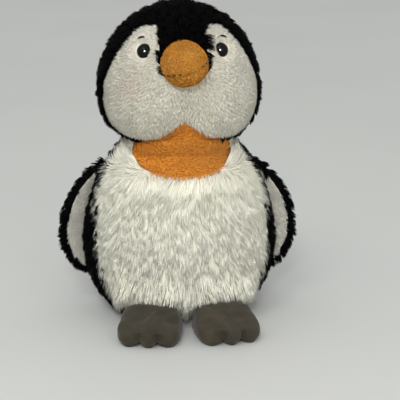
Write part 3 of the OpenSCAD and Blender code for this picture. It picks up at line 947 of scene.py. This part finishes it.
def make_materials():
    return {
        "black": plush_material(
            "black_plush_pile", rgba(0.0004, 0.0005, 0.0006), rgba(0.0012, 0.0013, 0.0016),
            rgba(0.0022, 0.0021, 0.002), 0.4, sheen=0.0, specular=0.06,
        ),
        "belly": plush_material(
            "belly_plush_pile", rgba(0.72, 0.69, 0.56), rgba(0.97, 0.96, 0.84),
            rgba(0.91, 0.89, 0.75), 0.45,
            marks=[
                ((16 * MM, -BELLY_DEPTH - 4 * MM, 86 * MM), 12 * MM, rgba(0.42, 0.43, 0.27), 0.55),
                ((5 * MM, -BELLY_DEPTH - 4 * MM, 30 * MM), 13 * MM, rgba(0.66, 0.66, 0.6), 0.4),
            ],
        ),
        "face": plush_material(
            "face_plush_pile", rgba(0.56, 0.5, 0.4), rgba(0.9, 0.88, 0.76),
            rgba(0.78, 0.74, 0.6), 0.45,
            marks=[((-38 * MM, -38 * MM, 160 * MM), 15 * MM, rgba(0.72, 0.56, 0.48), 0.55)],
        ),
        "lining": plush_material(
            "lining_plush_pile", rgba(0.55, 0.52, 0.45), rgba(0.84, 0.82, 0.74), rgba(0.72, 0.7, 0.62), 0.4,
        ),
        "orange": plush_material(
            "orange_plush_pile", rgba(0.36, 0.085, 0.008), rgba(0.86, 0.345, 0.04),
            rgba(0.74, 0.26, 0.028), 0.45, 14 * MM, sheen=0.05,
        ),
        "beak": plush_material(
            "beak_plush_pile", rgba(0.22, 0.075, 0.008), rgba(0.76, 0.34, 0.042),
            rgba(0.54, 0.275, 0.038), 0.6, 9 * MM, sheen=0.05,
        ),
        "black_cloth": cloth_material(
            "black_backing", rgba(0.0015, 0.0016, 0.002), rgba(0.003, 0.003, 0.0035)
        ),
        "white_cloth": cloth_material("white_backing", rgba(0.66, 0.63, 0.54), rgba(0.74, 0.71, 0.62)),
        "beak_cloth": cloth_material("beak_backing", rgba(0.4, 0.15, 0.025), rgba(0.48, 0.2, 0.035)),
        "orange_cloth": cloth_material("orange_backing", rgba(0.4, 0.13, 0.02), rgba(0.5, 0.17, 0.03)),
        "suede": suede_material("brushed_suede"),
        "eye": eye_material("eye_gloss"),
        "washer": plastic_material("washer_moulded", rgba(0.33, 0.33, 0.33), rgba(0.4, 0.4, 0.4)),
        "pellets": plastic_material("pellet_moulded", rgba(0.75, 0.76, 0.74), rgba(0.82, 0.82, 0.82)),
        "filling": filling_material("polyester_fill"),
        "pouch": cloth_material("pouch_weave", rgba(0.7, 0.68, 0.6), rgba(0.78, 0.76, 0.7)),
        "thread": thread_material("black_thread", rgba(0.004, 0.004, 0.005), rgba(0.02, 0.02, 0.022)),
        "satin": satin_material("label_satin"),
    }


# ---- Pile settings ----

# Length, width, density, lift, clump, gather, stray, wander and bend, as Pile lists them
FACE_PILE = Pile(4.8 * MM, 0.44 * MM, 4.0, 28, 1.7 * MM, 0.4, 0.05, 0.12, 0.02)
BLACK_PILE = Pile(9.4 * MM, 0.85 * MM, 1.3, 62, 4.4 * MM, 0.78, 0.4, 1.6, 0.16)
BELLY_PILE = Pile(15.0 * MM, 0.56 * MM, 2.1, 18, 2.6 * MM, 0.45, 0.07, 0.42, 0.05, (0.0, 0.33, 0.68), 3.0)
THROAT_PILE = Pile(3.2 * MM, 0.48 * MM, 4.8, 25, 1.5 * MM, 0.6, 0.08, 0.4, 0.05)
BEAK_PILE = Pile(2.4 * MM, 0.42 * MM, 5.6, 26, 1.4 * MM, 0.78, 0.1, 0.5, 0.06)
WING_PILE = Pile(7.0 * MM, 0.85 * MM, 1.3, 52, 4.0 * MM, 0.75, 0.35, 1.3, 0.16)
LINING_PILE = Pile(3.4 * MM, 0.5 * MM, 3.4, 34, 2.0 * MM, 0.5, 0.2, 0.6, 0.1)

# Each plush: its slot, its backing cloth's material, its pile and its pile's material
PLUSH = {
    "belly": ("white_plush", "white_cloth", BELLY_PILE, "belly"),
    "face": ("white_plush", "white_cloth", FACE_PILE, "face"),
    "lining": ("white_plush", "white_cloth", LINING_PILE, "lining"),
    "black": ("black_plush", "black_cloth", BLACK_PILE, "black"),
    "wing": ("black_plush", "black_cloth", WING_PILE, "black"),
    "throat": ("orange_plush", "orange_cloth", THROAT_PILE, "orange"),
    "beak": ("orange_plush", "beak_cloth", BEAK_PILE, "beak"),
}

DOWN = np.array([0, 0, -1.0])
BEAK_MIDDLE = np.array([0, -FACE_DEPTH, 175 * MM])


def hang(root):
    """The belly's pile lies down and a little away from the middle, as if brushed over a ball."""
    aside = root * np.array([8.0, 0, 0])
    high = ease((root[:, 2:] - 55 * MM) / (40 * MM))
    down = DOWN + aside + high * 0.5 * wobble(root, 30 * MM, 79)
    shoulder = ease((root[:, 2:] - 96 * MM) / (10 * MM)) * ease((np.abs(root[:, :1]) - 20 * MM) / (8 * MM))
    upward = np.array([0, 0, 0.9]) + np.sign(root[:, :1]) * [0.6, 0, 0]
    return mix(down, upward, shoulder)


def from_beak(root):
    """The pile of the cheeks sweeps away from the beak and then down."""
    away = unit(root - BEAK_MIDDLE)
    return away + 0.5 * DOWN


def over_crown(root):
    """The crown's pile runs back from the brow and down the back and the sides of the head."""
    back = np.array([0, 1.0, 0])
    behind = ease((root[:, 1:2] + 10 * MM) / (30 * MM))
    aside = unit(root - [0, 0, HEAD_Z]) * [1.1, 0, 0]
    brow = ease((-root[:, 1:2] - 22 * MM) / (12 * MM)) * ease((204 * MM - root[:, 2:]) / (12 * MM))
    aside = aside + brow * np.sign(root[:, :1]) * [1.5, 0, 0]
    return back * (1 - 0.7 * behind) + DOWN * (0.3 + 1.2 * behind) + aside


def fall(root):
    return DOWN + np.zeros(root.shape)


def ruffled(root):
    """Short pile brushed sideways in waves, which hangs down at the patch's lower edge."""
    hanging = ease((NECK_Z - 9 * MM - root[:, 2:]) / (5 * MM))
    sideways = np.array([1.0, 0, -0.25]) + 0.5 * wobble(root, 9 * MM, 77) * [0, 0, 1]
    return mix(sideways, DOWN, hanging)


def along_beak(root):
    return np.array([0, -1.0, 0]) + 0.7 * wobble(root, 9 * MM, 78)


def outward(root):
    """The wing's pile runs down and out over its edge."""
    return DOWN + unit(root - [0, 0, 0.06]) * [1.0, 0.2, 0]


def fringe(root):
    """1 where the belly's pile falls over the feet and 0 away from there."""
    level = np.exp(-(((root[:, 2] - 29 * MM) / (12 * MM)) ** 2))
    return level * ease((48 * MM - np.abs(root[:, 0])) / (12 * MM)) * (root[:, 1] < 0)


def over_feet(root):
    return 1 + 1.6 * fringe(root)


def belly_size(root):
    """Short near the floor, long over the feet, and never so long that it shows under a lifted foot."""
    size = 0.5 + 0.5 * ease((root[:, 2] - 1 * MM) / (10 * MM)) + 0.6 * fringe(root)
    aside = np.abs(np.abs(root[:, 0]) - FOOT_SEAM[0])
    over = ease((FOOT_W / 2 + 1 * MM - aside) / (3 * MM)) * (root[:, 1] < 0)
    room = np.clip((root[:, 2] - 11 * MM) / (0.85 * BELLY_PILE.length), 0.12, 2)
    return mix(size, np.minimum(size, room), over)


def under_label(root):
    """The back's pile is pressed flat where the label hangs."""
    low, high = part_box("care_label")
    past = np.maximum(np.abs(root[:, 0]) - high[0], 0)
    below = np.maximum(low[2] - root[:, 2], 0) + np.maximum(root[:, 2] - high[2] - 1 * MM, 0)
    behind = root[:, 1] > 0
    return np.where(behind, 0.25 + 0.75 * ease((np.hypot(past, below) - 1 * MM) / (3 * MM)), 1)


def clear_of_face_parts(root):
    """0 where an eye or the beak is, 1 away from them."""
    eye = np.hypot(np.abs(root[:, 0]) - EYE[0], root[:, 2] - EYE[1])
    beak = np.hypot(root[:, 0], (root[:, 2] - CREASE_Z) * 1.05)
    near_eye = np.where(root[:, 1] < -10 * MM, ease((eye - 4.0 * MM) / (3 * MM)), 1)
    near_beak = np.where(root[:, 1] < -30 * MM, ease((beak - 12.5 * MM) / (3 * MM)), 1)
    brows = np.concatenate([brow_path(mirrored, 0.0) for _, mirrored in SIDES])
    brow = np.min([np.linalg.norm(root - p, axis=1) for p in brows], axis=0)
    near_brow = 0.45 + 0.55 * ease((brow - 1 * MM) / (2 * MM))
    return np.minimum(np.minimum(near_eye, near_beak), near_brow)


def off_face_parts(root):
    return clear_of_face_parts(root) > 0.02


def face_size(root):
    return 0.35 + 0.65 * clear_of_face_parts(root)


# ---- The toy ----


def plush_panel(
    m, name, surface, rows, cols, body, plush, lie, seed, nodes, closed=False, across=None, **growth
):
    """A cloth panel and the pile that stands on it, in place of CAD panels. With across it stays where it
    is and rides no body; the bodies and points in across are not used."""
    slot, cloth, pile, look = PLUSH[plush]
    sheet = cloth_sheet(name + "_cloth", surface, rows, cols, m[cloth], closed)
    for piece in [sheet] + grow(name + "_pile", surface, pile, lie, m[look], seed, **growth):
        if across:
            bodies, start, end = across
            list(bodies)
            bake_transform(piece)
            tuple(start)
            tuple(end)
        else:
            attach(piece, body)
    if nodes:
        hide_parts(*nodes)


def add_body(m):
    middle = (0, 0, np.nan)
    plush_panel(m, "belly", Grid(belly_surface, middle), 40, 48, "body", "belly", hang, 11,
                ["belly_panel"], rise=over_feet, size=belly_size)
    plush_panel(m, "throat", Grid(throat_surface, middle), 12, 40, "body", "throat", ruffled, 12,
                ["throat_patch"])
    plush_panel(m, "back", Grid(back_surface, middle), 40, 56, "body", "black", fall, 13,
                ["body_back_left", "body_back_right"], size=under_label)


def add_neck(m):
    """The neck's cloth, and a second layer inside it which keeps it shut as the head nods."""
    front, side = THROAT_EDGE, NECK_SIDE
    parts = [
        ("front", -front, front, "throat", ruffled),
        ("left", front, side, "face", fall),
        ("right", -side, -front, "face", fall),
        ("back", side, 360 - side, "black", fall),
    ]
    layers = [
        ("skirt", skirt_surface, (("body", "neck"), (0, 0, NECK_Z), (0, 0, NECK_Z + 5 * MM))),
        ("sleeve", sleeve_surface, (("neck", "head"), (0, 0, NECK_Z), (0, 0, NECK_OPENING_Z))),
    ]
    for kind, shape, across in layers:
        for number, (place, first, last, plush, lie) in enumerate(parts):
            nodes = ["neck_band"] if (kind, place) == ("skirt", "back") else []
            plush_panel(m, "neck_%s_%s" % (kind, place), Grid(shape(first, last), (0, 0, np.nan)), 8, 40,
                        None, plush, lie, 31 + number, nodes, across=across)


def add_head(m):
    middle = (0, 0, HEAD_Z)
    for side, mirrored in SIDES:
        plush_panel(m, "cheek_" + side, Grid(cheek_surface, middle, mirrored), 40, 36, "head", "face",
                    from_beak, 21 + mirrored, ["cheek_" + side], size=face_size, keep=off_face_parts)
    plush_panel(m, "crown", Grid(crown_surface, middle), 16, 72, "head", "black", over_crown, 23,
                ["head_crown"], closed=True, size=face_size, keep=off_face_parts)
    plush_panel(m, "nape", Grid(head_back_surface, middle), 24, 48, "head", "black", fall, 24,
                ["head_back_left", "head_back_right"])
    plush_panel(m, "chin_front", Grid(gusset_surface(-GUSSET_EDGE, GUSSET_EDGE), middle), 10, 30, "head",
                "throat", ruffled, 25, ["throat_gusset"])
    plush_panel(m, "chin_back", Grid(gusset_surface(GUSSET_EDGE, 360 - GUSSET_EDGE), middle), 6, 60, "head",
                "black", fall, 26, ["chin_gusset"])


def add_beak(m):
    for name, lip, seed in (("beak_upper", UPPER_LIP, 41), ("beak_lower", LOWER_LIP, 42)):
        middle = (0, np.nan, CREASE_Z + lip[0])
        plush_panel(m, name, Grid(lip_surface(lip), middle), 24, 48, "head", "beak", along_beak, seed,
                    [name], closed=True)


def add_wings(m):
    faces = [("back", wing_back_surface, "wing", 51), ("front", wing_front_surface, "lining", 53)]
    for side, mirrored in SIDES:
        for face, shape, plush, seed in faces:
            name = "wing_%s_%s" % (side, face)
            plush_panel(m, name, Grid(shape, wing_core, mirrored), 14, 48, "wing_" + side, plush, outward,
                        seed + mirrored, [name], closed=True)


def crumple(ob, wave, depth, seed):
    """Pushes a skin in and out in soft waves, more on its top than at the floor."""
    me = ob.data
    co = np.empty(len(me.vertices) * 3)
    me.vertices.foreach_get("co", co)
    co = co.reshape(-1, 3)
    push = wobble(co, wave, seed) + 0.5 * wobble(co, wave / 2.6, seed + 7)
    co += push * depth * ease(co[:, 2:] / (12 * MM)) * [1, 1, 0.6]
    me.vertices.foreach_set("co", co.ravel())
    me.update()


def add_feet(m):
    """Each foot is one closed suede skin, which stands for its upper, its sole and its filling."""
    middle = foot_point(np.array([0.5, 178.0]), np.array([0.0, 0.0])).mean(0)
    for side, mirrored in SIDES:
        grid = Grid(foot_surface, sided(middle, mirrored), mirrored)
        foot = grid.mesh("foot_" + side, 60, 120, closed=True)
        crumple(foot, 19 * MM, 0.55 * MM, 61 + mirrored)
        foot.data.materials.append(m["suede"])
        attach(foot, "foot_" + side)
        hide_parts(*["foot_%s_%s" % (side, part) for part in ("upper", "sole", "stuffing")])


def add_eyes(m):
    """A polished skin over each moulded eye, and a lamp that only makes the glints in the two eyes."""
    eyes = bpy.data.collections.new("eyes")
    for side, mirrored in SIDES:
        grid = Grid(eye_surface, sided(eye_middle(), mirrored), mirrored)
        dome = grid.mesh("eye_gloss_" + side, 32, 64, closed=True)
        dome.data.materials.append(m["eye"])
        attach(dome, "head")
        eyes.objects.link(dome)
    glint = add_light("glint", (-0.15, -1.3, 0.5), (0, -0.04, EYE[1]), 0.4, 130, (1.0, 1.0, 1.0))
    glint.light_linking.receiver_collection = eyes


def cord(name, path, radius, material):
    """A round thread along a path of points, which thins at its two ends."""
    sides = 8
    path = np.array(path)
    ahead = unit(np.gradient(path, axis=0))
    side = unit(np.cross(ahead, [0.1, 0.2, 1.0]))
    up = np.cross(side, ahead)
    turns = np.linspace(0, 2 * math.pi, sides + 1)[:-1]
    ends = np.maximum(np.sin(np.linspace(0, math.pi, len(path))) ** 0.35, 0.25)
    rings = [
        path[k] + radius * ends[k] * (math.cos(a) * side[k] + math.sin(a) * up[k])
        for k in range(len(path)) for a in turns
    ]
    faces = []
    for low in range(0, len(rings) - sides, sides):
        for c in range(sides):
            beside = (c + 1) % sides
            faces.append((low + c, low + beside, low + sides + beside, low + sides + c))
    faces += [tuple(range(sides - 1, -1, -1)), tuple(len(rings) - sides + c for c in range(sides))]
    me = bpy.data.meshes.new(name)
    me.from_pydata([tuple(p) for p in rings], [], faces)
    me.shade_smooth()
    me.materials.append(material)
    return link(bpy.data.objects.new(name, me))


def join(name, parts):
    """Puts several meshes into one piece."""
    into = parts[0]
    with bpy.context.temp_override(active_object=into, selected_editable_objects=parts):
        bpy.ops.object.join()
    into.name = name
    return into


def brow_path(mirrored, inset):
    """Seven points along a brow, inset metres inside the crown's skin."""
    share = np.linspace(0, 1, 7)
    up = BROW_UP + 0.9 * np.sin(math.pi * share) + 1.8 * (1 - share)
    return sided(head_point(up, mix(*BROW_SIDES, share), inset), mirrored)


def add_threads(m):
    """The two brows, and four stitches on each side of the upper lip."""
    for side, mirrored in SIDES:
        brow = cord("brow_thread_" + side, brow_path(mirrored, -2.9 * MM), 0.7 * MM, m["thread"])
        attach(brow, "head")
        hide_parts("brow_stitch_" + side)
    upper = lip_surface(UPPER_LIP)
    stitches = []
    for around in (0, 180):
        for first in (8, 24, 40, 56):
            i = np.linspace(first, first + 9, 7) / 90
            p = upper(i, around / 360 + 0 * i)
            lifted = p + unit(p - [0, -30 * MM, CREASE_Z]) * 1.1 * MM
            stitches.append(cord("mouth_thread", lifted, 0.4 * MM, m["thread"]))
    mouth = join("mouth_thread", stitches)
    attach(mouth, "head")
    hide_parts("mouth_stitches")


def dress_cad_nodes(m):
    """Materials for the CAD pieces that show, or that lie inside, as they are."""
    looks = [
        ("washer", "washer"), ("pellets", "pellets"), ("pouch", "pouch"),
        ("stuffing", "filling"), ("neck_core", "filling"),
        ("foot_left_hem", "suede"), ("foot_right_hem", "suede"), ("hem", "black_cloth"),
        ("foot_left_seam", "suede"), ("foot_right_seam", "suede"), ("seam", "thread"), ("stitch", "thread"),
        ("base", "black_cloth"), ("label", "satin"), ("eye", "eye"),
    ]
    for name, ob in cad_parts.items():
        look = next((look for word, look in looks if word in name), None)
        if look and not ob.hide_render:
            ob.data.materials.clear()
            ob.data.materials.append(m[look])


add_camera()
add_room()
set_colour_view()
materials = make_materials()
add_body(materials)
add_neck(materials)
add_head(materials)
add_beak(materials)
add_wings(materials)
add_feet(materials)
add_eyes(materials)
add_threads(materials)
dress_cad_nodes(materials)
